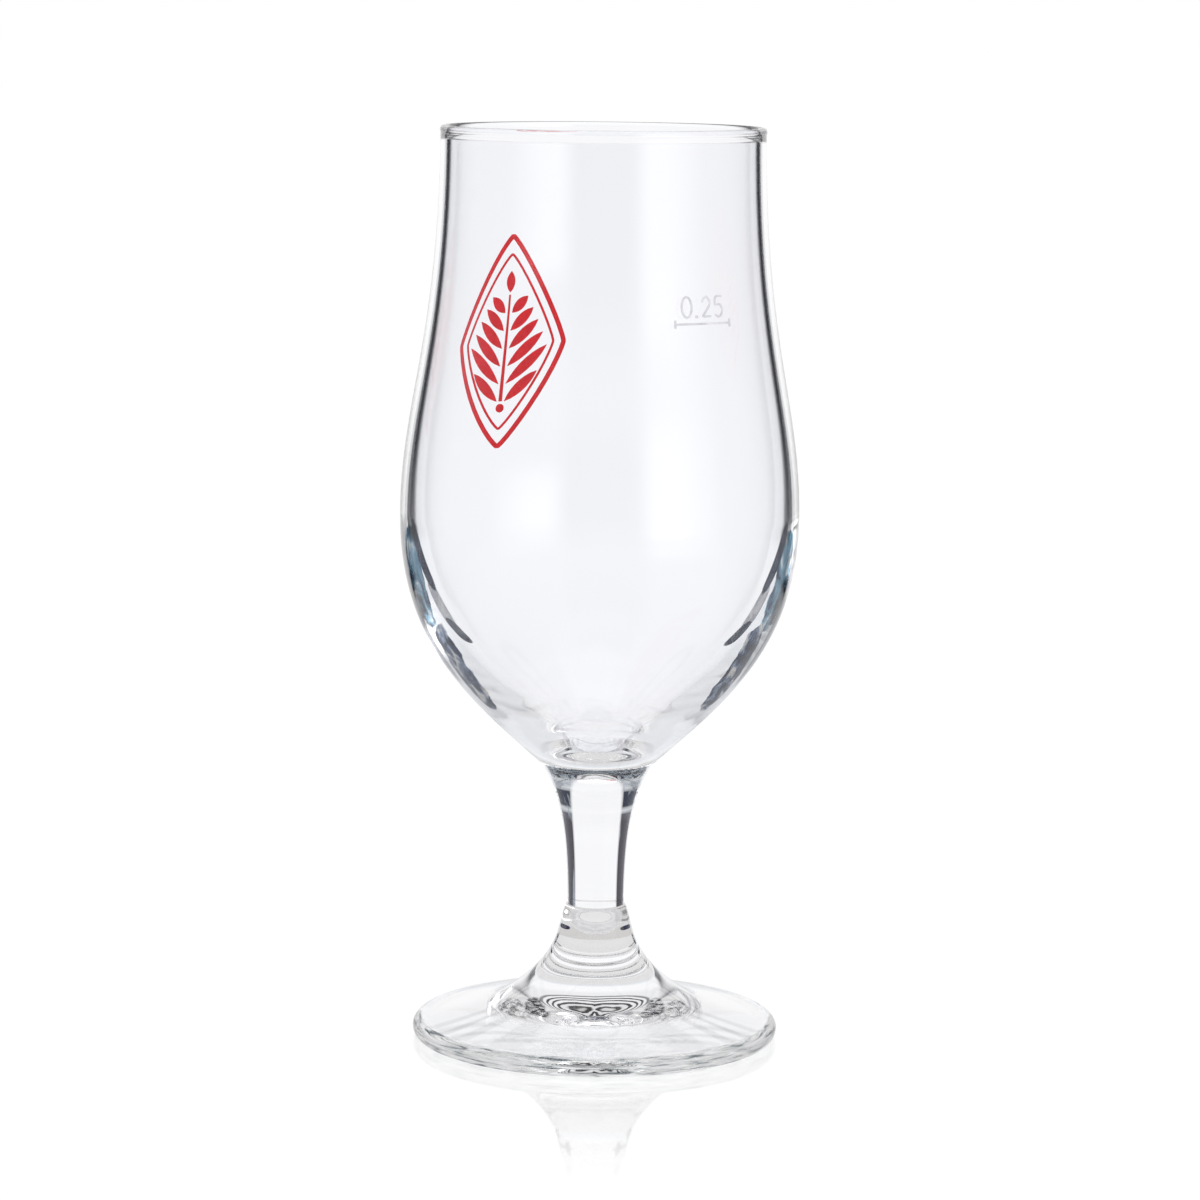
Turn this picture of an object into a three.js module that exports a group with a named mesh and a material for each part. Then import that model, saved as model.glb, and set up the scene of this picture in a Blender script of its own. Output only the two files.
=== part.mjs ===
// A clear glass beer goblet: a tulip bowl on a short solid stem and a round foot, with a red enamel emblem
// on the front of the bowl and a pale fill mark on the back. Millimetres, +Z up. The goblet stands on z = 0,
// its axis is Z, and the emblem faces -Y.
import * as THREE from 'three';

// Bowl
const rimHeight = 176.5;       // floor to the top of the rim
const rimRadius = 31;          // outside of the lip
const lipReach = 40.5;         // how far the lip's upright direction carries down
const bellyRadius = 38.4;      // widest outside radius
const bellyHeight = 102;       // floor to the widest place
const bellyReachUp = 22;       // how far the belly's upright direction carries up
const bellyReachDown = 24.8;   // and down
const rimWall = 1.4;           // wall at the lip
const bellyWall = 2.1;         // wall at the belly
const heelGlass = 6;           // wall that the heel grows to at the stem joint
const baseGlass = 3.2;         // glass between the stem joint and the inside of the bowl, on the axis
const wallEase = 2;            // above 1 the wall keeps the lip's thickness further down
const heelEase = 1;            // above 1 it keeps the belly's thickness further down
const basinShare = 0.05;       // share of the lower curve that the round of the basin takes
const beadSwell = 0.12;        // the rim bead stands out by this much past the lip's half wall

// Joint of bowl and stem
const bowlJointHeight = 54.2;
const bowlJointRadius = 11.4;
const bowlSpringAngle = 47.6;  // the bowl leaves the joint at this angle to the axis, in degrees
const bowlSpringReach = 18;

// Stem
const stemRadius = 5.5;        // at its foot end, the thinnest place
const stemFlareAngle = 42;     // the stem leaves the joint at this angle to the axis, in degrees
const stemFlareReach = 5.2;
const stemWaistReach = 16.3;

// Foot
const footJointHeight = 26;
const collarStep = 0.1;        // the collar's top stands out past the stem by this much
const collarSpread = 1.9;      // and its base by this much
const collarDepth = 5.8;       // joint to the collar's base
const collarSlope = 17;        // angle of the collar's base to the axis, in degrees
const collarCrown = 0.5;       // rounding of the collar's top, outwards
const collarReach = 1.6;
const flareReach = 8.6;
const kneeInset = 14;          // the flare passes into the plate of the foot this far in from its edge
const kneeRise = 2.9;          // and this far above the plate's edge
const kneeReach = 2;
const footRadius = 35.5;
const edgeThickness = 3.6;     // height of the plate where its edge starts to round
const edgeRound = 1.6;         // the rounding reaches this far in from the edge
const edgeWidest = 1.9;        // height of the edge's widest line
const contactInset = 1.2;      // the contact ring starts this far in from the edge
const contactWidth = 1.7;
const hollowHeight = 4.6;      // rise of the hollow underside on the axis
const hollowReach = 9;         // how far the hollow stays level from the axis
const hollowRun = 16;          // how far it follows the slope of the plate from the contact ring

// Enamel
const enamelThickness = 0.15;
const enamelGap = 0.05;        // clearance between the fired print and the glass
const emblemBearing = -90;     // direction that the emblem faces, in degrees from +X
const emblemDrop = 43.8;       // rim to the middle of the emblem
const emblemWidth = 27;
const emblemHeight = 43.6;
const outerLine = 1;           // line widths of the emblem's two frames
const innerLine = 0.5;
const frameSpacing = 2.2;      // between the middles of the two frame lines, at their sides
const lozengePower = 1.2;      // 1 is a plain lozenge, 2 an ellipse
const cornerGap = 3.4;         // between the inner frame's upper and lower corners and the sprig
const stalkWidth = 0.8;
const leafPairs = 6;
const leafAngle = 48;          // between leaf and stalk, in degrees
const leafGap = 0.5;           // between leaf and leaf, leaf and stalk, stalk and berry
const leafClearance = 1.7;     // between a leaf's tip and the inner frame, along the leaf
const leafRoundness = 0.8;     // below 1 the leaves are fuller towards their ends
const tipLeafLength = 4.2;
const berryRadius = 0.9;

// Fill mark
const markBearing = 90;        // the mark faces the other way from the emblem
const fillDrop = 35.3;         // rim to the measuring line
const fillLineLength = 12.7;
const markStroke = 0.4;
const tickHeight = 1.5;
const tickStroke = 0.4;
const numeralHeight = 3.8;     // along the middle of the stroke, as is the width
const numeralWidth = 2.1;
const numeralRise = 0.8;       // clear height between the measuring line and the numerals
const numeralGap = 0.5;        // clear width between the numerals
const pointRadius = 0.3;

// Fineness of the solids
const turns = 48;
const curveSteps = 11;
const beadSteps = 8;
const roundSteps = 4;
const frameSteps = 48;
const leafSteps = 7;
const stalkSteps = 10;
const dotSteps = 6;
const numeralSteps = 16;
const lineSteps = 12;
const readingSteps = 400;
const halvings = 40;
const tipWidth = 0.08;         // leaves and dots end in a tip of this width

const radians = THREE.MathUtils.degToRad;
const at = (x, y) => new THREE.Vector2(x, y);
const upright = (degrees) => at(Math.sin(radians(degrees)), Math.cos(radians(degrees)));
const curvePoints = (a, b, c, d, steps) => new THREE.CubicBezierCurve(a, b, c, d).getPoints(steps);
const series = (count, make) => Array.from({ length: count }, (_, step) => make(step));

const clearGlass = new THREE.MeshStandardMaterial({
  color: 0xe8eeee, roughness: 0.03, metalness: 0, transparent: true, opacity: 0.3,
});
const redEnamel = new THREE.MeshStandardMaterial({ color: 0xc81e2a, roughness: 0.35, metalness: 0 });
const paleEnamel = new THREE.MeshStandardMaterial({ color: 0xd4d4dc, roughness: 0.6, metalness: 0 });

const goblet = new THREE.Group();

function addPiece(name, geometry, material) {
  const piece = new THREE.Mesh(geometry, material.clone());
  piece.name = name;
  goblet.add(piece);
}

// A body of revolution about Z from a profile of (radius, height) that runs up the outside.
function turned(profile) {
  return new THREE.LatheGeometry(profile, turns).rotateX(Math.PI / 2);
}

// Outside of the bowl: out from the joint to the belly, and from the belly up to the lip.
const jointEdge = at(bowlJointRadius, bowlJointHeight);
const belly = at(bellyRadius, bellyHeight);
const lip = at(rimRadius, rimHeight);
const outsideBelow = new THREE.CubicBezierCurve(
  jointEdge,
  jointEdge.clone().addScaledVector(upright(bowlSpringAngle), bowlSpringReach),
  at(bellyRadius, bellyHeight - bellyReachDown),
  belly,
);
const outsideAbove = new THREE.CubicBezierCurve(
  belly,
  at(bellyRadius, bellyHeight + bellyReachUp),
  at(rimRadius, rimHeight - lipReach),
  lip,
);

// Radius of the bowl's outside at a height, read from a fine run of its two curves.
const outsideReading = [
  ...outsideBelow.getPoints(readingSteps),
  ...outsideAbove.getPoints(readingSteps).slice(1),
];
function outsideRadius(height) {
  const above = outsideReading.findIndex((point) => point.y >= height);
  if (above <= 0) {
    return (above < 0 ? lip : jointEdge).x;
  }
  const low = outsideReading[above - 1];
  const high = outsideReading[above];
  return low.x + ((high.x - low.x) * (height - low.y)) / (high.y - low.y);
}

// The bead is a round of the lip's half wall and its swell, and the lip runs into both its sides.
function beadPoints() {
  const radius = rimWall / 2 + beadSwell;
  const centre = at(rimRadius - rimWall / 2, rimHeight - radius);
  const side = Math.acos(rimWall / 2 / radius);
  const sweep = Math.PI + 2 * side;
  return series(beadSteps + 1, (step) => {
    const angle = (sweep * step) / beadSteps - side;
    return at(centre.x + radius * Math.cos(angle), centre.y + radius * Math.sin(angle));
  });
}

// Inside of the bowl above the belly: the wall thickens from the lip down to the belly.
function wallPoint(height) {
  const share = (rimHeight - height) / (rimHeight - bellyHeight);
  return at(outsideRadius(height) - rimWall - (bellyWall - rimWall) * share ** wallEase, height);
}

// Inside of the heel at a share of the lower curve: the glass thickens from the belly down to the joint.
function heelPoint(share) {
  const along = outsideBelow.getTangent(share);
  const wall = bellyWall + (heelGlass - bellyWall) * (1 - share) ** heelEase;
  return outsideBelow.getPoint(share).addScaledVector(at(-along.y, along.x), wall);
}

// The basin rounds from the heel's slope into the level bottom on the axis.
function basinPoints() {
  const start = heelPoint(basinShare);
  const slope = outsideBelow.getTangent(basinShare);
  const bottom = at(0, bowlJointHeight + baseGlass);
  const corner = at(start.x - ((start.y - bottom.y) * slope.x) / slope.y, bottom.y);
  return new THREE.QuadraticBezierCurve(start, corner, bottom).getPoints(roundSteps);
}

function bowlProfile() {
  const bead = beadPoints();
  const neckHeight = bead[0].y - rimWall;
  const outside = [
    ...outsideBelow.getPoints(curveSteps),
    ...outsideAbove.getPoints(curveSteps).slice(1).filter((point) => point.y < neckHeight),
  ];
  const insideAbove = series(curveSteps, (step) => {
    return wallPoint(neckHeight - ((neckHeight - bellyHeight) * step) / curveSteps);
  });
  const heel = series(curveSteps, (step) => heelPoint(1 - ((1 - basinShare) * step) / curveSteps));
  return [at(0, bowlJointHeight), ...outside, ...bead, ...insideAbove, ...heel, ...basinPoints()];
}

function stemProfile() {
  const waist = at(stemRadius, footJointHeight);
  const side = curvePoints(
    waist,
    at(stemRadius, footJointHeight + stemWaistReach),
    jointEdge.clone().addScaledVector(upright(stemFlareAngle), -stemFlareReach),
    jointEdge,
    curveSteps,
  );
  return [at(0, footJointHeight), ...side, at(0, bowlJointHeight)];
}

// The foot runs from the hollow underside out to the edge, and over the plate and the flare up to the collar.
function footProfile() {
  const plateEnd = at(footRadius - edgeRound, edgeThickness);
  const knee = at(footRadius - kneeInset, edgeThickness + kneeRise);
  const plateSlope = plateEnd.clone().sub(knee).normalize();
  const contactOuter = at(footRadius - contactInset, 0);
  const contactInner = at(contactOuter.x - contactWidth, 0);
  const hollow = curvePoints(
    at(0, hollowHeight),
    at(hollowReach, hollowHeight),
    contactInner.clone().addScaledVector(plateSlope, -hollowRun),
    contactInner,
    curveSteps,
  );
  const widest = at(footRadius, edgeWidest);
  const lowerRound = curvePoints(contactOuter, at(footRadius, 0), widest, widest, roundSteps);
  const upperRound = curvePoints(
    widest,
    widest,
    plateEnd.clone().addScaledVector(plateSlope, edgeRound),
    plateEnd,
    roundSteps,
  );
  const collarBase = at(stemRadius + collarSpread, footJointHeight - collarDepth);
  const collarDirection = upright(-collarSlope);
  const flare = curvePoints(
    knee,
    knee.clone().addScaledVector(plateSlope, -kneeReach),
    collarBase.clone().addScaledVector(collarDirection, -flareReach),
    collarBase,
    curveSteps,
  );
  const collarTop = at(stemRadius + collarStep, footJointHeight);
  const collar = curvePoints(
    collarBase,
    collarBase.clone().addScaledVector(collarDirection, collarReach),
    at(collarTop.x + collarCrown, collarTop.y),
    collarTop,
    roundSteps,
  );
  return [
    ...hollow,
    ...lowerRound,
    ...upperRound.slice(1),
    ...flare,
    ...collar.slice(1),
    at(0, footJointHeight),
  ];
}

addPiece('bowl', turned(bowlProfile()), clearGlass);
addPiece('stem', turned(stemProfile()), clearGlass);
addPiece('foot', turned(footProfile()), clearGlass);

// One island of ink: a ribbon along stations of { point, side }, where side points from the middle of the
// line to its right edge. The flat ribbon is laid on the bowl about a bearing and a height. A closed ribbon
// joins its ends, and an open one is capped.
function ribbon(stations, bearing, height, closed) {
  const reference = outsideRadius(height);
  const corners = [];
  stations.forEach(({ point, side }) => {
    [[-1, 0], [1, 0], [1, 1], [-1, 1]].forEach(([across, layer]) => {
      const place = point.clone().addScaledVector(side, across);
      const level = height + place.y;
      const radius = outsideRadius(level) + enamelGap + layer * enamelThickness;
      const angle = radians(bearing) + place.x / reference;
      corners.push(radius * Math.cos(angle), radius * Math.sin(angle), level);
    });
  });
  const count = stations.length;
  const faces = [];
  const quad = (a, b, c, d) => faces.push(a, b, c, a, c, d);
  for (let station = 0; station < (closed ? count : count - 1); station += 1) {
    const here = station * 4;
    const next = ((station + 1) % count) * 4;
    for (let edge = 0; edge < 4; edge += 1) {
      const other = (edge + 1) % 4;
      quad(here + edge, next + edge, next + other, here + other);
    }
  }
  if (!closed) {
    const last = (count - 1) * 4;
    quad(0, 1, 2, 3);
    quad(last + 3, last + 2, last + 1, last);
  }
  const geometry = new THREE.BufferGeometry();
  geometry.setAttribute('position', new THREE.Float32BufferAttribute(corners, 3));
  geometry.setIndex(faces);
  geometry.computeVertexNormals();
  return geometry;
}

const toRight = (along, width) => at(along.y, -along.x).multiplyScalar(width / 2);

// Stations along a straight line from a start: places gives [distance, width] pairs.
function straight(start, direction, places) {
  return places.map(([distance, width]) => ({
    point: start.clone().addScaledVector(direction, distance),
    side: toRight(direction, width),
  }));
}

// A dot is a ribbon whose width follows a circle.
function dotPlaces(radius) {
  return series(dotSteps + 1, (step) => {
    const turn = (Math.PI * step) / dotSteps;
    return [radius * (1 - Math.cos(turn)), tipWidth + 2 * radius * Math.sin(turn)];
  });
}

function addEmblemInk(name, stations, closed = false) {
  const geometry = ribbon(stations, emblemBearing, rimHeight - emblemDrop, closed);
  addPiece(`emblem_${name}`, geometry, redEnamel);
}

// A frame is a superellipse, |x/a|^p + |y/b|^p = 1, drawn with an even line.
function frameStations(halfWidth, halfHeight, width) {
  const ease = (value) => Math.sign(value) * Math.abs(value) ** (2 / lozengePower);
  const outline = (turn) => at(halfWidth * ease(Math.cos(turn)), halfHeight * ease(Math.sin(turn)));
  const stepAngle = (2 * Math.PI) / frameSteps;
  return series(frameSteps, (step) => {
    const turn = (step + 0.5) * stepAngle;
    const along = outline(turn + stepAngle / 2).sub(outline(turn - stepAngle / 2)).normalize();
    return { point: outline(turn), side: toRight(along, width) };
  });
}

const outerHalfWidth = (emblemWidth - outerLine) / 2;
const outerHalfHeight = (emblemHeight - outerLine) / 2;
const innerHalfWidth = outerHalfWidth - frameSpacing;
const innerHalfHeight = (innerHalfWidth * outerHalfHeight) / outerHalfWidth;
addEmblemInk('outer_frame', frameStations(outerHalfWidth, outerHalfHeight, outerLine), true);
addEmblemInk('inner_frame', frameStations(innerHalfWidth, innerHalfHeight, innerLine), true);

// The sprig stands in the inner frame: a berry, a stalk with pairs of leaves and one leaf at its tip.
const up = at(0, 1);
const berryFoot = at(0, cornerGap - innerHalfHeight);
const stalkFoot = at(0, berryFoot.y + 2 * berryRadius + leafGap);
const tipLeafFoot = at(0, innerHalfHeight - cornerGap - tipLeafLength);
const stalkLength = tipLeafFoot.y - leafGap - stalkFoot.y;
const stalkTaper = (step) => stalkWidth * (1 - step / stalkSteps / 2);
const stalkPlaces = series(stalkSteps + 1, (step) => [(stalkLength * step) / stalkSteps, stalkTaper(step)]);
addEmblemInk('berry', straight(berryFoot, up, dotPlaces(berryRadius)));
addEmblemInk('stalk', straight(stalkFoot, up, stalkPlaces));

const leafPitch = stalkLength / leafPairs;
const leafWidth = leafPitch * upright(leafAngle).x - leafGap;
function leafPlaces(length) {
  return series(leafSteps + 1, (step) => {
    const swell = Math.sin((Math.PI * step) / leafSteps) ** leafRoundness;
    return [(length * step) / leafSteps, tipWidth + (leafWidth - tipWidth) * swell];
  });
}

// Distance from a place in the inner frame to the frame's line, by halving.
function reachToFrame(start, direction) {
  const share = (value, half) => Math.abs(value / half) ** lozengePower;
  let inside = 0;
  let outside = emblemHeight;
  for (let halving = 0; halving < halvings; halving += 1) {
    const middle = (inside + outside) / 2;
    const place = start.clone().addScaledVector(direction, middle);
    if (share(place.x, innerHalfWidth) + share(place.y, innerHalfHeight) < 1) {
      inside = middle;
    } else {
      outside = middle;
    }
  }
  return inside;
}

for (let pair = 0; pair < leafPairs; pair += 1) {
  const height = stalkFoot.y + leafPitch * pair;
  [['left', -1], ['right', 1]].forEach(([hand, sign]) => {
    const direction = at(sign * upright(leafAngle).x, upright(leafAngle).y);
    const start = at(sign * (stalkWidth / 2 + leafGap), height);
    const places = leafPlaces(reachToFrame(start, direction) - leafClearance);
    addEmblemInk(`leaf_${hand}_${pair + 1}`, straight(start, direction, places));
  });
}
addEmblemInk('leaf_tip', straight(tipLeafFoot, up, leafPlaces(tipLeafLength)));

// The fill mark: a measuring line with end ticks, and plain numerals that give litres above it.
function addMarkInk(name, stations, closed = false) {
  addPiece(`fill_${name}`, ribbon(stations, markBearing, rimHeight - fillDrop, closed), paleEnamel);
}

const lineRun = fillLineLength - 2 * tickStroke;
const linePlaces = [
  [0, tickHeight],
  [tickStroke, tickHeight],
  ...series(lineSteps + 1, (step) => [tickStroke + (lineRun * step) / lineSteps, markStroke]),
  [fillLineLength - tickStroke, tickHeight],
  [fillLineLength, tickHeight],
];
addMarkInk('line', straight(at(-fillLineLength / 2, 0), at(1, 0), linePlaces));

// The numerals two and five are splines through points of a cell that is one wide and one high.
const twoPoints = [[0.05, 0.72], [0.5, 1], [0.95, 0.7], [0.55, 0.35], [0.08, 0.02], [0.5, 0.04], [1, 0.03]];
const fivePoints = [[0.9, 0.98], [0.2, 0.96], [0.12, 0.58], [0.6, 0.6], [0.95, 0.33], [0.55, 0], [0.03, 0.1]];
const numeralFoot = numeralRise + markStroke;
const inCell = (left, x, y) => at(left + x * numeralWidth, numeralFoot + y * numeralHeight);

function splineStations(cell, left) {
  const curve = new THREE.SplineCurve(cell.map(([x, y]) => inCell(left, x, y)));
  return series(numeralSteps + 1, (step) => ({
    point: curve.getPointAt(step / numeralSteps),
    side: toRight(curve.getTangentAt(step / numeralSteps), markStroke),
  }));
}

// The nought is an ellipse that fills its cell.
function noughtStations(left) {
  return series(numeralSteps, (step) => {
    const turn = (2 * Math.PI * step) / numeralSteps;
    const along = at(-numeralWidth * Math.sin(turn), numeralHeight * Math.cos(turn)).normalize();
    const point = inCell(left, (1 + Math.cos(turn)) / 2, (1 + Math.sin(turn)) / 2);
    return { point, side: toRight(along, markStroke) };
  });
}

const numeralPitch = numeralWidth + markStroke + numeralGap;
const pointPitch = 2 * pointRadius + markStroke / 2 + numeralGap;
const noughtLeft = -(2 * numeralPitch + pointPitch + numeralWidth) / 2;
const pointMiddle = noughtLeft + numeralPitch - markStroke / 2 + pointRadius;
const twoLeft = noughtLeft + numeralPitch + pointPitch;
const pointFoot = at(pointMiddle, numeralFoot - markStroke / 2);
addMarkInk('numeral_0', noughtStations(noughtLeft), true);
addMarkInk('numeral_point', straight(pointFoot, up, dotPlaces(pointRadius)));
addMarkInk('numeral_2', splineStations(twoPoints, twoLeft));
addMarkInk('numeral_5', splineStations(fivePoints, twoLeft + numeralPitch));

export default goblet;
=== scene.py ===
import math
import bpy
import numpy as np
from mathutils import Matrix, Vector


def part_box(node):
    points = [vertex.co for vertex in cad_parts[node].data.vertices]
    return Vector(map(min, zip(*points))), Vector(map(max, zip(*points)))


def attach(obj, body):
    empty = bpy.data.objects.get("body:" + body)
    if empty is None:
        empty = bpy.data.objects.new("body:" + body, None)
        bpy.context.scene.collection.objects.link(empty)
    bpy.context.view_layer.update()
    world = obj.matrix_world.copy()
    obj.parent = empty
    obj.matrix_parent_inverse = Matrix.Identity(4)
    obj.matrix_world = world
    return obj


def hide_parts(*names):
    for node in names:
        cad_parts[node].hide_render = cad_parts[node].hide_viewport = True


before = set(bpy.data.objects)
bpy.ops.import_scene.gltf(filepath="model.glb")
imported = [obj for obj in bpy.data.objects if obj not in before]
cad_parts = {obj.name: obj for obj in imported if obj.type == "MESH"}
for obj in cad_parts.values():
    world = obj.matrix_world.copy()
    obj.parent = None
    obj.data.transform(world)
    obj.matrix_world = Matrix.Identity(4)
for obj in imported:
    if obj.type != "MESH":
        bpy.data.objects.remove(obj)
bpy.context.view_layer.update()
mm = 0.001
white = (1, 1, 1, 1)
glassBounces = 40  # thick glass turns light back many times
scene = bpy.context.scene
scene.view_settings.view_transform = "Standard"
for kind in ("max", "glossy", "transmission", "transparent_max"):
    setattr(scene.cycles, kind + "_bounces", glassBounces)
print("frame loaded with", len(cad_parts), "nodes")

# Shader wires


class Wire:
    # a shader socket: arithmetic adds Math nodes, and node() adds a node of any other kind
    def __init__(self, tree, socket=None):
        self.tree = tree
        self.socket = socket

    def node(self, kind, settings=None, values=None, output=0):
        made = self.tree.nodes.new("ShaderNode" + kind)
        for name, value in (settings or {}).items():
            if name == "stops":
                for spare in range(len(value) - len(made.color_ramp.elements)):
                    made.color_ramp.elements.new(1)
                for element, (position, colour) in zip(made.color_ramp.elements, value):
                    element.position = position
                    element.color = (*colour, 1)
            else:
                setattr(made, name, value)
        for key, value in (values or {}).items():
            if isinstance(value, Wire):
                self.tree.links.new(value.socket, made.inputs[key])
            else:
                made.inputs[key].default_value = value
        return Wire(self.tree, made.outputs[output])

    def out(self, name):
        return Wire(self.tree, self.socket.node.outputs[name])

    def math(self, operation, first, second):
        return self.node("Math", {"operation": operation}, {0: first, 1: second})

    def __add__(self, other):
        return self.math("ADD", self, other)

    def __sub__(self, other):
        return self.math("SUBTRACT", self, other)

    def __rsub__(self, other):
        return self.math("SUBTRACT", other, self)

    def __mul__(self, other):
        return self.math("MULTIPLY", self, other)

    def __truediv__(self, other):
        return self.math("DIVIDE", self, other)

    __radd__ = __add__
    __rmul__ = __mul__

    def ease(self, start, end):
        # 0 at start, 1 at end, smooth between them
        values = {"Value": self, "From Min": start, "From Max": end}
        return self.node("MapRange", {"interpolation_type": "SMOOTHSTEP"}, values)

    def mixColour(self, first, second):
        # first where this wire is 0, second where it is 1
        return self.node("Mix", {"data_type": "RGBA"}, {0: self, 6: first, 7: second}, 2)

    def ramp(self, stops):
        return self.node("ValToRGB", {"stops": stops}, {0: self})


def greys(stops):
    return [(position, (level, level, level)) for position, level in stops]


def heightOf(place):
    return place.node("SeparateXYZ", values={0: place}, output="Z")


def noiseAt(place, grain, detail, draw=1, twist=0):
    # noise that is drawn out upright where draw is under 1, and sideways where it is over 1
    drawn = place.node("Mapping", values={"Vector": place, "Scale": (1, 1, draw)})
    values = {"Vector": drawn, "Scale": grain, "Detail": detail, "Distortion": twist}
    return place.node("TexNoise", values=values)


def newMaterial(name):
    material = bpy.data.materials.new(name)
    material.use_nodes = True
    material.node_tree.nodes.clear()
    return material, Wire(material.node_tree)


def show(wire):
    # a Material Output or World Output for the shader
    kind = "OutputWorld" if scene.world and wire.tree == scene.world.node_tree else "OutputMaterial"
    output = wire.tree.nodes.new("ShaderNode" + kind)
    wire.tree.links.new(wire.socket, output.inputs["Surface"])


# Camera

cameraView = {
    "azimuth": 145.5,  # degrees round the axis from -Y
    "distance": 794.4 * mm,  # from the axis
    "height": 199.2 * mm,
    "pitch": 8.14,  # degrees down
    "roll": 0.6,  # degrees, the picture leans right
    "fieldOfView": 16.42,  # degrees
    "shift": 0.001,
}


def makeCamera(view):
    data = bpy.data.cameras.new("camera")
    data.sensor_fit = "HORIZONTAL"
    data.angle = math.radians(view["fieldOfView"])
    data.shift_x = view["shift"]
    camera = bpy.data.objects.new("camera", data)
    scene.collection.objects.link(camera)
    place = Matrix.Translation((0, -view["distance"], view["height"]))
    tilt = Matrix.Rotation(math.radians(90 - view["pitch"]), 4, "X")
    roll = Matrix.Rotation(math.radians(view["roll"]), 4, "Z")
    camera.matrix_world = Matrix.Rotation(math.radians(view["azimuth"]), 4, "Z") @ place @ tilt @ roll
    scene.camera = camera


makeCamera(cameraView)
print("camera placed at", cameraView["azimuth"], "degrees")

# Studio: world, lamp and floor

studio = {
    # what a mirrored view sees, as (degrees from straight behind, positive on the right, brightness)
    "room": [
        (-180, "gloom"), (-162, "gloom"), (-161, "low"), (-110, "low"), (-90, "dim"), (-46, "dim"),
        (-38, "gloom"), (-31, "gloom"), (-29, "bright"), (29, "bright"), (31, "gloom"), (38, "gloom"),
        (46, "dim"), (104, "dim"), (134, "box"), (147, "box"), (159, "gloom"), (180, "gloom"),
    ],
    "gloom": (0.02, 0.023, 0.03),
    "low": (0.32, 0.32, 0.34),
    "dim": (0.55, 0.55, 0.57),
    "box": (2.7, 2.7, 2.7),
    "bright": (1, 1, 1),
    "ceiling": (0.15, 0.3),  # sine of the height where the walls give way to the ceiling
    # a pair of ringed lamps in the ceiling behind: degrees to each side, half their width in degrees,
    # the sine of their height, half their reach, and how uneven the rings are
    "ringLamp": {"side": 14, "degrees": 46, "height": 0.73, "reach": 0.43, "waver": 0.2},
    "waverGrain": 5,
    "waverDetail": 2,
    # brightness of the rings from the middle of a lamp outwards
    "lampRings": [
        (0.0, 0.7), (0.03, 0.06), (0.06, 0.06), (0.08, 0.8), (0.12, 0.8), (0.14, 0.05), (0.19, 0.05),
        (0.21, 0.9), (0.28, 0.9), (0.3, 0.08), (0.35, 0.08), (0.38, 0.9), (0.46, 0.9), (0.48, 0.06),
        (0.54, 0.06), (0.57, 0.9), (0.66, 0.9), (0.7, 0.25), (0.77, 0.25), (0.85, 0.88),
    ],
    "lampHeight": 1.5,  # metres above the floor
    "lampSize": 1.4,
    "lampPower": 3,  # watts
    "floorHalf": 8.0,
    "floorDrop": 0.05 * mm,  # keeps the floor clear of the contact ring
    "floorGlow": 0.735,
    "floorColour": (0.27, 0.27, 0.27, 1),
    # what a mirrored view sees of the near floor, by the distance in metres
    "floorRings": [
        (0.0, (0.79, 0.78, 0.77)), (0.055, (0.79, 0.78, 0.77)), (0.065, (0.78, 0.79, 0.81)),
        (0.11, (0.78, 0.8, 0.82)), (0.14, (0.88, 0.9, 0.93)), (0.4, (0.88, 0.9, 0.93)),
    ],
    "floorReach": 0.4,  # distance at the end of that ramp
    "floorEnd": (0.32, 0.38),  # beyond this distance it sees the room instead
    "floorSides": (0.14, 0.25),  # and beyond these turns from straight behind, where asideStart lets it
    "asideStart": (40 * mm, 60 * mm),
    "boxStart": (0.36, 0.55),  # the bright box shows only on the floor further out than this
    "mirrorShare": 0.45,
    "mirrorRise": (38 * mm, 62 * mm),  # the floor's sheen grows and fades with the distance from the axis
    "mirrorFade": (55 * mm, 112 * mm),
    "mirrorLeast": 0.45,  # share of it at the foot
    "mirrorRoughness": 0.04,
}


def mirroredShare(wire):
    # 1 for a view that glass has turned back, 0 for one that is straight or only bent
    path = wire.node("LightPath")
    return path.math("MINIMUM", path.out("Glossy Depth"), 1) * path.out("Is Singular Ray")


def roomBearing(place):
    # bearing of a place from the axis in turns, 0 straight behind as the camera sees it
    values = {"Vector": place, "Angle": -math.radians(cameraView["azimuth"])}
    turned = place.node("VectorRotate", {"rotation_type": "Z_AXIS"}, values)
    split = place.node("SeparateXYZ", values={0: turned})
    return split.math("ARCTAN2", split.out("X"), split.out("Y")) / math.tau


def roomWalls(turns, light):
    stops = [(degrees / 360 + 0.5, light[colour]) for degrees, colour in light["room"]]
    return (turns + 0.5).ramp(stops)


def makeWorld(light):
    scene.world = bpy.data.worlds.new("studio")
    scene.world.use_nodes = True
    scene.world.node_tree.nodes.clear()
    wire = Wire(scene.world.node_tree)
    direction = wire.node("TexCoord", output="Generated")
    height = heightOf(direction)
    turns = roomBearing(direction)
    lamp = light["ringLamp"]
    across = (turns.math("ABSOLUTE", turns, 0) * 360 - lamp["side"]) / lamp["degrees"]
    upright = (height - lamp["height"]) / lamp["reach"]
    waver = (noiseAt(direction, light["waverGrain"], light["waverDetail"]) - 0.5) * lamp["waver"]
    ceiling = (across * across + upright * upright + waver).ramp(greys(light["lampRings"]))
    room = height.ease(*light["ceiling"]).mixColour(roomWalls(turns, light), ceiling)
    show(wire.node("Background", values={"Color": mirroredShare(wire).mixColour(white, room)}))


def makeLamp(light):
    data = bpy.data.lights.new("overhead", "AREA")
    data.shape = "DISK"
    data.size = light["lampSize"]
    data.energy = light["lampPower"]
    lamp = bpy.data.objects.new("overhead", data)
    lamp.location = (0, 0, light["lampHeight"])
    scene.collection.objects.link(lamp)


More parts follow.
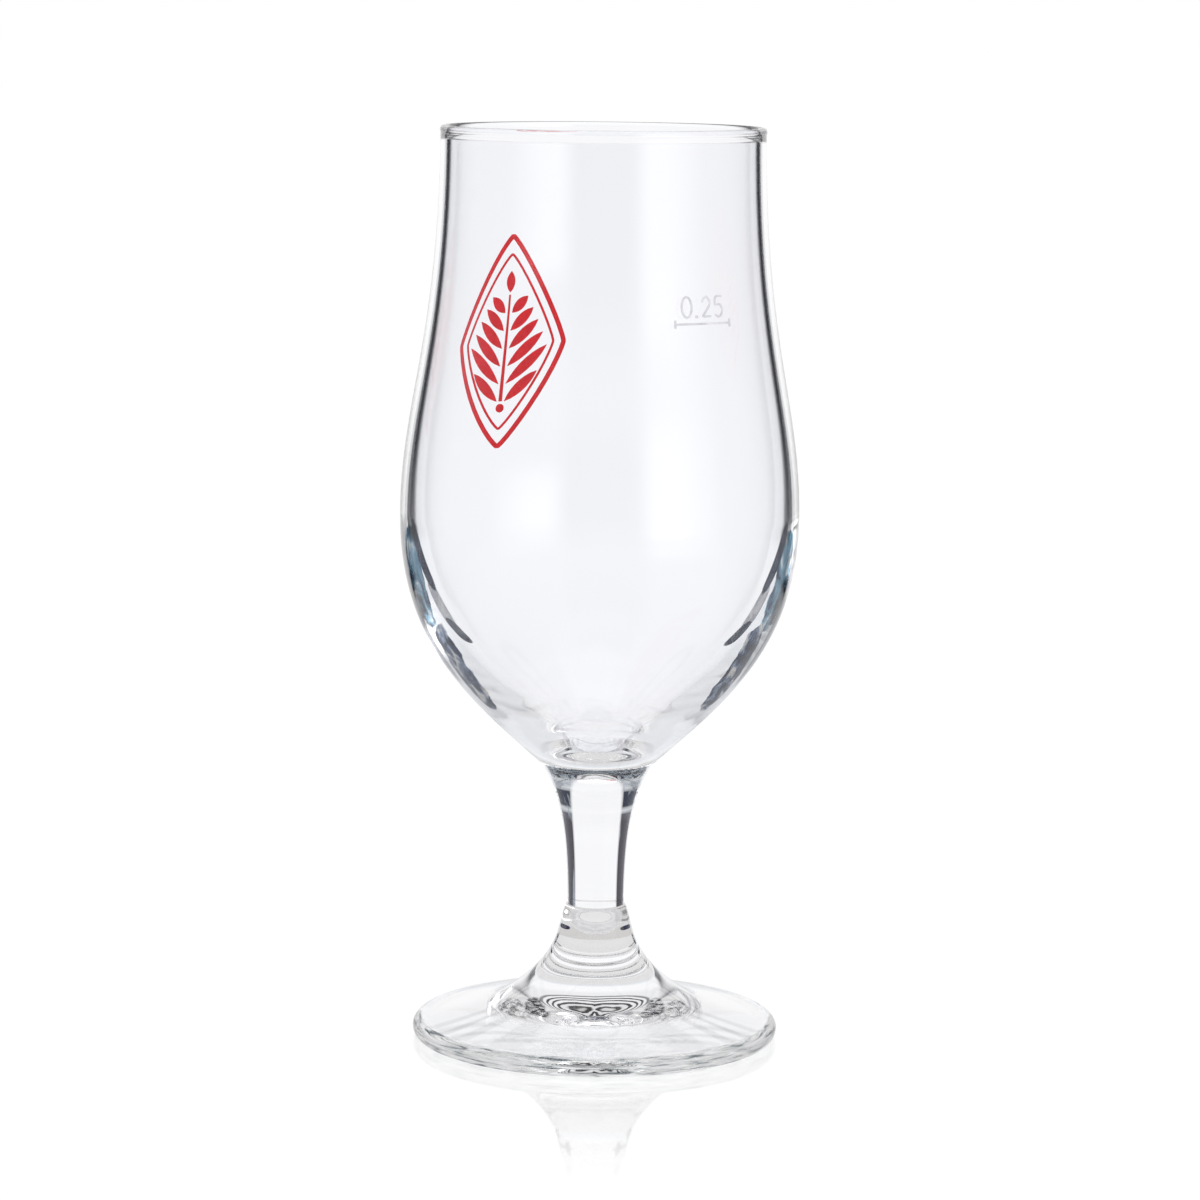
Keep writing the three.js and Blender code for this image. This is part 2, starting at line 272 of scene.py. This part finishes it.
def makeFloor(light):
    half = light["floorHalf"]
    level = -light["floorDrop"]
    corners = [(-half, -half, level), (half, -half, level), (half, half, level), (-half, half, level)]
    mesh = bpy.data.meshes.new("floor")
    mesh.from_pydata(corners, [], [(0, 1, 2, 3)])
    floor = bpy.data.objects.new("floor", mesh)
    scene.collection.objects.link(floor)
    material, wire = newMaterial("pale floor")
    place = wire.node("TexCoord", output="Object")
    radius = wire.node("VectorMath", {"operation": "LENGTH"}, {0: place}, "Value")

    # a straight view sees a pale matte floor with a little sheen near the foot
    rise = radius.ease(*light["mirrorRise"]) * (1 - light["mirrorLeast"]) + light["mirrorLeast"]
    share = rise * (1 - radius.ease(*light["mirrorFade"])) * light["mirrorShare"]
    matte = wire.node("BsdfDiffuse", values={"Color": light["floorColour"]})
    glow = wire.node("Emission", values={"Color": white, "Strength": light["floorGlow"]})
    pale = wire.node("AddShader", values={0: matte, 1: glow})
    sheen = wire.node("BsdfAnisotropic", values={"Color": white, "Roughness": light["mirrorRoughness"]})
    surface = wire.node("MixShader", values={0: share, 1: pale, 2: sheen})

    # a mirrored one sees the near floor, and the room further out and to the sides
    stops = [(distance / light["floorReach"], colour) for distance, colour in light["floorRings"]]
    near = (radius / light["floorReach"]).ramp(stops)
    turns = roomBearing(place)
    dimWalls = roomWalls(turns, {**light, "box": light["dim"]})
    far = radius.ease(*light["boxStart"]).mixColour(dimWalls, roomWalls(turns, light))
    aside = turns.math("ABSOLUTE", turns, 0).ease(*light["floorSides"])
    aside = aside * radius.ease(*light["asideStart"])
    farShare = turns.math("MAXIMUM", radius.ease(*light["floorEnd"]), aside)
    room = wire.node("Emission", values={"Color": farShare.mixColour(near, far)})
    show(wire.node("MixShader", values={0: mirroredShare(wire), 1: surface, 2: room}))
    mesh.materials.append(material)


makeWorld(studio)
makeLamp(studio)
makeFloor(studio)
print("studio ready")

# Glass finishes

glassLook = {
    "ior": 1.5,
    "reach": 200 * mm,  # heights on the ramps are shares of this
    "roughness": 0.0,
    "gloss": (0.5, 0.5, 0.5, 1),  # strength of its reflections face on
    "shadowTint": (0.93, 0.94, 0.95, 1),  # what lamps see of the glass
    "shadeRise": (84 * mm, 108 * mm),  # heights where the shade of the heel clears
    "evenBlend": 0.5,  # Layer Weight's blend at which its facing is plain
    "mottleDetail": 2,
    "mottleTwist": 1,
}
clear = (0.968, 0.971, 0.988)
# the colours from here down paint shade and reflections of dark surroundings into the glass
shade = (0.925, 0.928, 0.945)
grey = (0.86, 0.87, 0.9)
slate = (0.004, 0.004, 0.006)
lineShadeBlack = (0.0008, 0.0008, 0.0013)
umber = (0.006, 0.005, 0.0075)
navy = (0.001, 0.0016, 0.004)
dusk = (0.012, 0.011, 0.016)
steel = (0.1, 0.13, 0.17)
barShadeGrey = (0.42, 0.46, 0.5)
collarShadeGrey = (0.66, 0.65, 0.64)


def rampUp(place, stops):
    # a colour ramp over the height
    shares = [(level / glassLook["reach"], colour) for level, colour in stops]
    return (heightOf(place) / glassLook["reach"]).ramp(shares)


# A tint gives the glass its colour, and paints into it the shade and reflections of dark surroundings,
# from facing, 0 face on and 1 at grazing, and from the place


def angled(stops):
    # a tint that follows the angle alone
    def tint(facing, place):
        return facing.ramp(stops)
    return tint


def leveled(angles, levels):
    # the same, fading in with the height
    def tint(facing, place):
        return rampUp(place, greys(levels)).mixColour((*clear, 1), facing.ramp(angles))
    return tint


def shaded(facing, place):
    # painted shade: the heel's glass is tinted darker than the wall above it
    return heightOf(place).ease(*glassLook["shadeRise"]).mixColour((*shade, 1), (*clear, 1))


def patched(base, patches, grain, draw):
    # mottled patches of painted shade on a base tint, where the angle and the height both come near a
    # patch's middle
    def tint(facing, place):
        colour = base(facing, place)
        height = heightOf(place)
        coarse = noiseAt(place, grain, glassLook["mottleDetail"])
        fine = noiseAt(place, grain, glassLook["mottleDetail"], draw, glassLook["mottleTwist"])
        for patch in patches.values():
            rise = height - patch["height"]
            across = (facing - patch["facing"] - rise * patch["tilt"]) / patch["width"]
            upright = rise / patch["reach"]
            upright = upright * upright
            inside = 1 - across * across - upright * upright + (coarse - 0.5) * patch["rag"]
            colour = inside.ease(0, patch["edge"]).mixColour(colour, fine.ramp(patch["stops"]))
        return colour
    return tint


def streaked(streaks):
    # streaks of painted shade and reflection along a ring
    def tint(facing, place):
        noise = noiseAt(place, streaks["grain"], streaks["detail"], streaks["draw"], streaks["twist"])
        return noise.ramp(streaks["stops"])
    return tint


def barred(bars):
    # upright bars of painted shade and reflection: angles give their place, levels their colour by the
    # height
    def tint(facing, place):
        streak = noiseAt(place, bars["grain"], bars["detail"], bars["draw"])
        band = streak.ease(*bars["glint"]).mixColour(rampUp(place, bars["levels"]), (*steel, 1))
        return facing.ramp(greys(bars["angles"])).mixColour((*clear, 1), band)
    return tint


def makeGlass(name, enter, leave, ripple=None):
    # enter tints a ray that comes in and leave one that is in the glass; ripple gives the waves of
    # the pressed surface
    material, wire = newMaterial(name)
    place = wire.node("TexCoord", output="Object")
    bump = {}
    if ripple:
        height = heightOf(place)
        waves = noiseAt(place, ripple["grain"], ripple["detail"])
        waves = waves * height.ease(*ripple["start"]) * (1 - height.ease(*ripple["end"]))
        bump["Normal"] = wire.node("Bump", values={"Height": waves, "Distance": ripple["depth"]})
    facing = wire.node("LayerWeight", values={"Blend": glassLook["evenBlend"]}, output="Facing")
    within = wire.node("NewGeometry", output="Backfacing")
    values = {
        # the tints paint shade and reflections of dark surroundings into the base colour
        "Base Color": within.mixColour(enter(facing, place), leave(facing, place)),
        "Roughness": glassLook["roughness"],
        "IOR": glassLook["ior"],
        "Transmission Weight": 1,
        "Specular Tint": glassLook["gloss"],
        **bump,
    }
    glass = wire.node("BsdfPrincipled", values=values)
    passing = wire.node("BsdfTransparent", values={"Color": glassLook["shadowTint"]})
    path = wire.node("LightPath")
    lighting = path.math("MAXIMUM", path.out("Is Shadow Ray"), path.out("Is Diffuse Ray"))
    show(wire.node("MixShader", values={0: lighting, 1: glass, 2: passing}))
    return material


def makeSeam():
    # fused joints let the view through unbent
    material, wire = newMaterial("fused joint")
    show(wire.node("BsdfTransparent", values={"Color": white}))
    return material


# Each patch is an oval of painted shade, the dark surroundings the glass would turn into view, about an
# angle and a height.
# Its tilt is the change of angle by the metre, its rag how torn its outline is, its edge how softly it
# ends, and its stops the colours of its mottle.
heelShadePatches = {
    "upper": {
        "facing": 0.7, "height": 91.5 * mm, "tilt": 0, "width": 0.105, "reach": 10 * mm,
        "rag": 1.2, "edge": 0.15,
        "stops": [
            (0.36, (0.004, 0.006, 0.018)), (0.44, (0.012, 0.045, 0.08)), (0.52, (0.025, 0.08, 0.14)),
            (0.6, (0.08, 0.17, 0.26)), (0.68, (0.5, 0.52, 0.5)),
        ],
    },
    "lower": {
        "facing": 0.67, "height": 75 * mm, "tilt": -6, "width": 0.085, "reach": 8.5 * mm,
        "rag": 1.6, "edge": 0.15,
        "stops": [
            (0.4, (0.0008, 0.001, 0.003)), (0.48, (0.003, 0.005, 0.014)), (0.56, (0.04, 0.06, 0.11)),
            (0.64, (0.3, 0.28, 0.25)),
        ],
    },
    "outlineHigh": {
        "facing": 0.88, "height": 90.5 * mm, "tilt": 0, "width": 0.1, "reach": 12.5 * mm,
        "rag": 0.2, "edge": 0.5,
        "stops": [(0.4, (0.1, 0.1, 0.11)), (0.6, (0.14, 0.14, 0.155))],
    },
    "outline": {
        "facing": 0.86, "height": 82 * mm, "tilt": 0, "width": 0.08, "reach": 12.5 * mm,
        "rag": 0.2, "edge": 0.6,
        "stops": [(0.4, (0.03, 0.03, 0.04)), (0.6, (0.06, 0.06, 0.075))],
    },
    "lineMiddle": {
        "facing": 0.517, "height": 87.5 * mm, "tilt": 7, "width": 0.042, "reach": 4.4 * mm,
        "rag": 0.2, "edge": 0.3,
        "stops": [(0.4, (0.13, 0.13, 0.15)), (0.6, (0.26, 0.26, 0.27))],
    },
    "lineHigh": {
        "facing": 0.588, "height": 96.5 * mm, "tilt": 10.5, "width": 0.04, "reach": 6.8 * mm,
        "rag": 0.2, "edge": 0.3,
        "stops": [(0.4, (0.003, 0.0035, 0.007)), (0.6, (0.008, 0.01, 0.018))],
    },
    "lineLow": {
        "facing": 0.475, "height": 82.8 * mm, "tilt": 14, "width": 0.036, "reach": 2.3 * mm,
        "rag": 0.2, "edge": 0.3,
        "stops": [(0.4, (0.006, 0.007, 0.012)), (0.6, (0.03, 0.033, 0.04))],
    },
}
# painted shade on the collar
collarShadePatches = {
    "wedge": {
        "facing": 0.52, "height": 21.9 * mm, "tilt": 0, "width": 0.26, "reach": 0.42 * mm,
        "rag": 1.4, "edge": 0.3,
        "stops": [(0.42, (0.0008, 0.001, 0.006)), (0.55, (0.03, 0.03, 0.04)), (0.66, (0.4, 0.38, 0.36))],
    },
}
# painted shade on the neck of the foot
neckShadePatches = {
    "neck": {
        "facing": 0.72, "height": 20 * mm, "tilt": 0, "width": 0.09, "reach": 2 * mm,
        "rag": 2, "edge": 0.3,
        "stops": [(0.45, (0.004, 0.004, 0.006)), (0.6, (0.3, 0.3, 0.32))],
    },
    "wing": {
        "facing": 0.425, "height": 8.4 * mm, "tilt": 0, "width": 0.06, "reach": 1.3 * mm,
        "rag": 0.8, "edge": 0.5,
        "stops": [(0.4, (0.002, 0.0025, 0.004)), (0.5, (0.1, 0.1, 0.11)), (0.6, (0.55, 0.55, 0.56))],
    },
    "wingTip": {
        "facing": 0.56, "height": 7.6 * mm, "tilt": 0, "width": 0.1, "reach": 1.1 * mm,
        "rag": 0.8, "edge": 0.6,
        "stops": [(0.38, (0.08, 0.08, 0.09)), (0.5, (0.4, 0.4, 0.41)), (0.62, clear)],
    },
}
# painted shade and reflections in the stem
stemShadeBars = {
    "grain": 900,
    "detail": 3,
    "draw": 0.06,
    "glint": (0.56, 0.72),  # noise at which a streak turns to steel
    "angles": [(0, 0.06), (0.3, 0.06), (0.35, 1), (0.72, 1), (0.8, 0)],
    "levels": [
        (28 * mm, umber), (43 * mm, umber), (43.3 * mm, steel), (43.6 * mm, dusk), (44.8 * mm, dusk),
        (45.1 * mm, barShadeGrey), (45.3 * mm, barShadeGrey), (45.6 * mm, navy), (49.5 * mm, navy), (50 * mm, barShadeGrey),
        (50.5 * mm, steel), (51.5 * mm, barShadeGrey), (52.3 * mm, steel), (53.2 * mm, umber), (54 * mm, steel),
    ],
}
# painted shade and reflections, streaked round the foot's edge
edgeShadeStreaks = {
    "grain": 150,
    "detail": 4,
    "draw": 13,
    "twist": 0.5,
    "stops": [
        (0.33, (0.03, 0.04, 0.05)), (0.39, (0.28, 0.31, 0.33)), (0.45, (0.66, 0.69, 0.69)),
        (0.52, (0.8, 0.83, 0.82)), (0.57, clear),
    ],
}
# painted shade: a dark line where the inner wall turns the view back, with a grey fall inside it
innerEdgeShade = {
    "angles": [(0, clear), (0.2, clear), (0.238, grey), (0.243, lineShadeBlack), (0.2546, lineShadeBlack), (0.256, clear)],
    "levels": [(97 * mm, 0), (101 * mm, 1)],
}
heelRipple = {
    "grain": 110,
    "detail": 1,
    "start": (62 * mm, 70 * mm),
    "end": (78 * mm, 96 * mm),
    "depth": 0.12 * mm,
}
# painted shade: dark bands round the rim and lip
rimShadeAngles = [(0, clear), (0.22, clear), (0.24, slate), (0.256, slate), (0.262, clear)]
lipShadeAngles = [(0, clear), (0.5, clear), (0.65, slate), (0.85, slate), (0.95, clear)]
# painted shade: the collar is tinted darker face on, clearing towards grazing
collarShadeAngles = [(0, collarShadeGrey), (0.75, collarShadeGrey), (0.9, clear)]

plain = angled([(0, clear), (1, clear)])
heelShadeTint = patched(shaded, heelShadePatches, grain=300, draw=0.6)
collarShadeTint = patched(angled(collarShadeAngles), collarShadePatches, grain=300, draw=0.6)
neckShadeTint = patched(plain, neckShadePatches, grain=450, draw=6)
outerWall = makeGlass("outer wall glass", heelShadeTint, plain)
innerWall = makeGlass("inner wall glass", plain, leveled(**innerEdgeShade), heelRipple)
rimGlass = makeGlass("rim glass", plain, angled(rimShadeAngles))
lipGlass = makeGlass("lip glass", angled(lipShadeAngles), plain)
stemGlass = makeGlass("stem glass", barred(stemShadeBars), plain)
plateGlass = makeGlass("plate glass", plain, plain)
edgeGlass = makeGlass("edge glass", streaked(edgeShadeStreaks), plain)
collarGlass = makeGlass("collar glass", collarShadeTint, plain)
neckGlass = makeGlass("neck glass", neckShadeTint, plain)
fusedJoint = makeSeam()
print("glass finishes mixed")

# Turned pieces

turning = {
    "around": 256,  # points round the axis
    "discSteps": 3,  # points of a flat joint from the axis out
}


def bezier(a, b, c, d, count):
    # points of a cubic curve from a to d that leaves towards b and comes in from c
    t = np.linspace(0, 1, count)[:, None]
    a, b, c, d = (np.asarray(point, float) for point in (a, b, c, d))
    return (1 - t) ** 3 * a + 3 * (1 - t) ** 2 * t * b + 3 * (1 - t) * t ** 2 * c + t ** 3 * d


def along(degrees):
    # a step in (radius, height) at an angle to the axis
    return np.array((math.sin(math.radians(degrees)), math.cos(math.radians(degrees))))


def flatJoint(start, end, height):
    # points from one radius to another at a height
    radii = np.linspace(start, end, turning["discSteps"])
    return np.stack([radii, np.full(len(radii), height)], axis=-1)


def turnPiece(name, node, stretches, creases):
    # stretches are (profile points, finish) from the axis round to the axis; each point (r, z) goes to
    # (r cos t, r sin t, z) for t over a full turn, and the first and last points, on the axis, are poles
    around = turning["around"]
    profile = np.concatenate([points[:-1] for points, finish in stretches] + [stretches[-1][0][-1:]])
    counts = [len(points) - 1 for points, finish in stretches]
    bands = np.repeat(np.arange(len(stretches)), counts)
    turn = np.arange(around) * 2 * math.pi / around
    rings = profile[1:-1]
    grid = np.empty((len(rings), around, 3))
    grid[:, :, 0] = rings[:, :1] * np.cos(turn)
    grid[:, :, 1] = rings[:, :1] * np.sin(turn)
    grid[:, :, 2] = rings[:, 1:]
    ends = np.array([(0, 0, profile[0, 1]), (0, 0, profile[-1, 1])])
    vertices = np.concatenate([grid.reshape(-1, 3), ends])
    number = np.arange(len(rings) * around).reshape(len(rings), around)
    beside = np.roll(number, -1, axis=1)
    quads = np.stack([number[:-1], beside[:-1], beside[1:], number[1:]], axis=-1).reshape(-1, 4)
    first = np.stack([np.full(around, len(vertices) - 2), beside[0], number[0]], axis=-1)
    last = np.stack([number[-1], beside[-1], np.full(around, len(vertices) - 1)], axis=-1)
    mesh = bpy.data.meshes.new(name)
    mesh.from_pydata(vertices, [], first.tolist() + quads.tolist() + last.tolist())

    # each stretch has its own finish, and the shading breaks only at the creases between them
    finishes = []
    for points, finish in stretches:
        if finish not in finishes:
            finishes.append(finish)
            mesh.materials.append(finish)
    slots = np.array([finishes.index(finish) for points, finish in stretches])[bands]
    mesh.polygons.foreach_set("material_index", np.repeat(slots, around).astype(np.int32))
    mesh.polygons.foreach_set("use_smooth", np.ones(len(mesh.polygons), bool))
    edges = np.empty(len(mesh.edges) * 2, np.int32)
    mesh.edges.foreach_get("vertices", edges)
    rows = np.where(edges < number.size, edges // around, -1).reshape(-1, 2)
    starts = np.cumsum(counts) - 1
    sharp = (rows[:, 0] == rows[:, 1]) & np.isin(rows[:, 0], starts[creases])
    mesh.edges.foreach_set("use_edge_sharp", sharp)
    mesh.update()
    piece = bpy.data.objects.new(name, mesh)
    scene.collection.objects.link(piece)
    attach(piece, "root")
    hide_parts(node)
    print(name, "has", len(vertices), "vertices")


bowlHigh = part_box("bowl")[1]
stemLow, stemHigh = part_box("stem")
rimHeight = bowlHigh.z
bellyRadius = bowlHigh.x
bowlJoint = np.array((stemHigh.x, stemHigh.z))
footJointHeight = stemLow.z
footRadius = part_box("foot")[1].x

# Bowl

bowl = {
    "rimRadius": 31 * mm,
    "lipReach": 40.5 * mm,  # a reach is how far a curve is drawn towards its direction at that end
    "bellyHeight": 102 * mm,
    "bellyReachUp": 22 * mm,
    "bellyReachDown": 24.8 * mm,
    "springAngle": 47.6,  # degrees from the axis, where the wall springs from the joint
    "springReach": 18 * mm,
    "rimWall": 1.4 * mm,
    "bellyWall": 2.1 * mm,
    "heelGlass": 6 * mm,
    "baseGlass": 3.2 * mm,  # under the drink
    "wallEase": 2,  # power of the wall's growth from lip to belly
    "heelEase": 1,  # and from belly to joint
    "basinShare": 0.05,  # share of the lower curve that the basin rounds off
    "beadSwell": 0.12 * mm,  # how far the bead stands out of the lip's wall
    "steps": 86,
    "roundSteps": 24,
    "fineSteps": 801,  # points of the curves that the inside is worked out from
}


def makeBowl(size):
    belly = np.array((bellyRadius, size["bellyHeight"]))
    lip = np.array((size["rimRadius"], rimHeight))
    lower = (
        bowlJoint,
        bowlJoint + along(size["springAngle"]) * size["springReach"],
        belly - (0, size["bellyReachDown"]),
        belly,
    )
    upper = (belly, belly + (0, size["bellyReachUp"]), lip - (0, size["lipReach"]), lip)
    outsideBelow = bezier(*lower, size["steps"])
    outsideAbove = bezier(*upper, size["steps"])

    # the bead is an arc over the lip's wall
    beadRadius = size["rimWall"] / 2 + size["beadSwell"]
    side = math.acos(size["rimWall"] / 2 / beadRadius)
    turn = np.linspace(-side, math.pi + side, size["roundSteps"])
    bead = np.stack([np.cos(turn), np.sin(turn)], axis=-1) * beadRadius
    bead += (size["rimRadius"] - size["rimWall"] / 2, rimHeight - beadRadius)
    neck = bead[0, 1] - size["rimWall"]
    outsideAbove = outsideAbove[outsideAbove[:, 1] < neck]

    # above the belly the wall grows from the lip down
    levels = np.linspace(neck, size["bellyHeight"], size["steps"])
    share = (rimHeight - levels) / (rimHeight - size["bellyHeight"])
    wall = size["rimWall"] + (size["bellyWall"] - size["rimWall"]) * share ** size["wallEase"]
    fine = bezier(*upper, size["fineSteps"])
    insideAbove = np.stack([np.interp(levels, fine[:, 1], fine[:, 0]) - wall, levels], axis=-1)

    # below it the inside is the outside moved in by a wall that thickens towards the joint
    fine = bezier(*lower, size["fineSteps"])
    slope = np.gradient(fine, axis=0)
    slope /= np.linalg.norm(slope, axis=1, keepdims=True)
    share = np.linspace(0, 1, len(fine))
    wall = size["bellyWall"] + (size["heelGlass"] - size["bellyWall"]) * (1 - share) ** size["heelEase"]
    fine += slope[:, ::-1] * (-1, 1) * wall[:, None]
    places = np.linspace(1, size["basinShare"], size["steps"])
    heel = np.stack([np.interp(places, share, fine[:, 0]), np.interp(places, share, fine[:, 1])], axis=-1)

    # the basin rounds from the heel's slope into the level bottom
    bottom = np.array((0, bowlJoint[1] + size["baseGlass"]))
    run = heel[-1] - heel[-2]
    corner = heel[-1] + run * (bottom[1] - heel[-1, 1]) / run[1]
    t = np.linspace(0, 1, size["roundSteps"])[:, None]
    basin = (1 - t) ** 2 * heel[-1] + 2 * (1 - t) * t * corner + t ** 2 * bottom

    outside = np.concatenate([outsideBelow, outsideAbove[1:], bead[:1]])
    inside = np.concatenate([bead[-1:], insideAbove, heel[1:], basin[1:]])
    crest = len(bead) // 2
    stretches = [
        (flatJoint(0, *bowlJoint), fusedJoint),
        (outside, outerWall),
        (bead[:crest + 1], rimGlass),
        (bead[crest:], lipGlass),
        (inside, innerWall),
    ]
    turnPiece("bowl_glass", "bowl", stretches, [0])


makeBowl(bowl)

# Stem

stem = {
    "radius": 5.5 * mm,  # at the foot's collar
    "flareAngle": 42,  # degrees from the axis, under the bowl
    "flareReach": 5.2 * mm,
    "waistReach": 16.3 * mm,
    "steps": 70,
}


def makeStem(size):
    waist = np.array((size["radius"], footJointHeight))
    flare = bowlJoint - along(size["flareAngle"]) * size["flareReach"]
    side = bezier(waist, waist + (0, size["waistReach"]), flare, bowlJoint, size["steps"])
    stretches = [
        (flatJoint(0, *waist), fusedJoint),
        (side, stemGlass),
        (flatJoint(bowlJoint[0], 0, bowlJoint[1]), fusedJoint),
    ]
    turnPiece("stem_glass", "stem", stretches, [0, 1])


makeStem(stem)

# Foot

foot = {
    "collarStep": 0.1 * mm,
    "collarSpread": 1.9 * mm,
    "collarDepth": 5.8 * mm,
    "collarSlope": 17,  # degrees from the axis
    "collarCrown": 0.5 * mm,
    "collarReach": 1.6 * mm,
    "flareReach": 8.6 * mm,
    "kneeInset": 14 * mm,  # from the edge to where the plate turns up into the flare
    "kneeRise": 2.9 * mm,
    "kneeReach": 2 * mm,
    "edgeThickness": 3.6 * mm,
    "edgeRound": 1.6 * mm,
    "edgeWidest": 1.9 * mm,
    "contactInset": 1.2 * mm,
    "contactWidth": 1.7 * mm,
    "hollowHeight": 4.6 * mm,  # of the underside, at the axis
    "hollowReach": 9 * mm,
    "hollowRun": 16 * mm,
    "steps": 60,
    "roundSteps": 14,
    "plateSteps": 24,
}


def makeFoot(size):
    plateEnd = np.array((footRadius - size["edgeRound"], size["edgeThickness"]))
    knee = np.array((footRadius - size["kneeInset"], size["edgeThickness"] + size["kneeRise"]))
    slope = (plateEnd - knee) / np.linalg.norm(plateEnd - knee)
    contactOuter = np.array((footRadius - size["contactInset"], 0))
    contactInner = contactOuter - (size["contactWidth"], 0)
    crown = np.array((0, size["hollowHeight"]))
    hollow = bezier(
        crown,
        crown + (size["hollowReach"], 0),
        contactInner - slope * size["hollowRun"],
        contactInner,
        size["steps"],
    )
    widest = np.array((footRadius, size["edgeWidest"]))
    lowerRound = bezier(contactOuter, (footRadius, 0), widest, widest, size["roundSteps"])
    upperRound = bezier(widest, widest, plateEnd + slope * size["edgeRound"], plateEnd, size["roundSteps"])
    collarBase = np.array((stem["radius"] + size["collarSpread"], footJointHeight - size["collarDepth"]))
    lean = along(-size["collarSlope"])
    flare = bezier(
        knee,
        knee - slope * size["kneeReach"],
        collarBase - lean * size["flareReach"],
        collarBase,
        size["steps"],
    )
    collarTop = np.array((stem["radius"] + size["collarStep"], footJointHeight))
    collar = bezier(
        collarBase,
        collarBase + lean * size["collarReach"],
        collarTop + (size["collarCrown"], 0),
        collarTop,
        size["roundSteps"],
    )
    stretches = [
        (np.concatenate([hollow, [contactOuter]]), plateGlass),
        (np.concatenate([lowerRound, upperRound[1:]]), edgeGlass),
        (np.linspace(plateEnd, knee, size["plateSteps"]), plateGlass),
        (flare, neckGlass),
        (collar, collarGlass),
        (np.stack([collarTop, (stem["radius"], footJointHeight)]), collarGlass),
        (flatJoint(stem["radius"], 0, footJointHeight), fusedJoint),
    ]
    turnPiece("foot_glass", "foot", stretches, [0, 4, 5])


makeFoot(foot)

# Enamel

enamel = {
    "red": [(0.3, (0.54, 0.008, 0.022)), (0.7, (0.66, 0.014, 0.034))],
    "redUnderBrightened": [(0.3, (0.74, 0.0, 0.004)), (0.7, (0.93, 0.003, 0.01))],  # the side that lies on the glass, painted brighter and purer to make up for the light the glass takes
    "pale": [(0.3, (0.6, 0.6, 0.64)), (0.7, (0.8, 0.8, 0.83))],
    "grain": 500,
    "detail": 3,
    "roughness": (0.3, 0.55),
    "gloss": 0.05,
}


def makeEnamel(name, stops, stopsBrightened):
    # a fired print is a little uneven in depth and in polish; the side under the glass is painted brighter
    # and purer to make up for the light the glass takes
    material, wire = newMaterial(name)
    place = wire.node("TexCoord", output="Object")
    grain = noiseAt(place, enamel["grain"], enamel["detail"])
    normal = wire.node("NewGeometry", output="Normal")
    outward = wire.node("VectorMath", {"operation": "DOT_PRODUCT"}, {0: normal, 1: place}, "Value")
    outside = outward.math("GREATER_THAN", outward, 0)
    low, high = enamel["roughness"]
    values = {
        "Base Color": outside.mixColour(grain.ramp(stopsBrightened), grain.ramp(stops)),
        "Roughness": grain * (high - low) + low,
        "Specular IOR Level": enamel["gloss"],
    }
    show(wire.node("BsdfPrincipled", values=values))
    return material


redEnamel = makeEnamel("red enamel", enamel["red"], enamel["redUnderBrightened"])
paleEnamel = makeEnamel("pale enamel", enamel["pale"], enamel["pale"])
for name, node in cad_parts.items():
    if name.startswith(("emblem", "fill")):
        node.data.materials.clear()
        node.data.materials.append(redEnamel if name.startswith("emblem") else paleEnamel)
print("enamel fired")
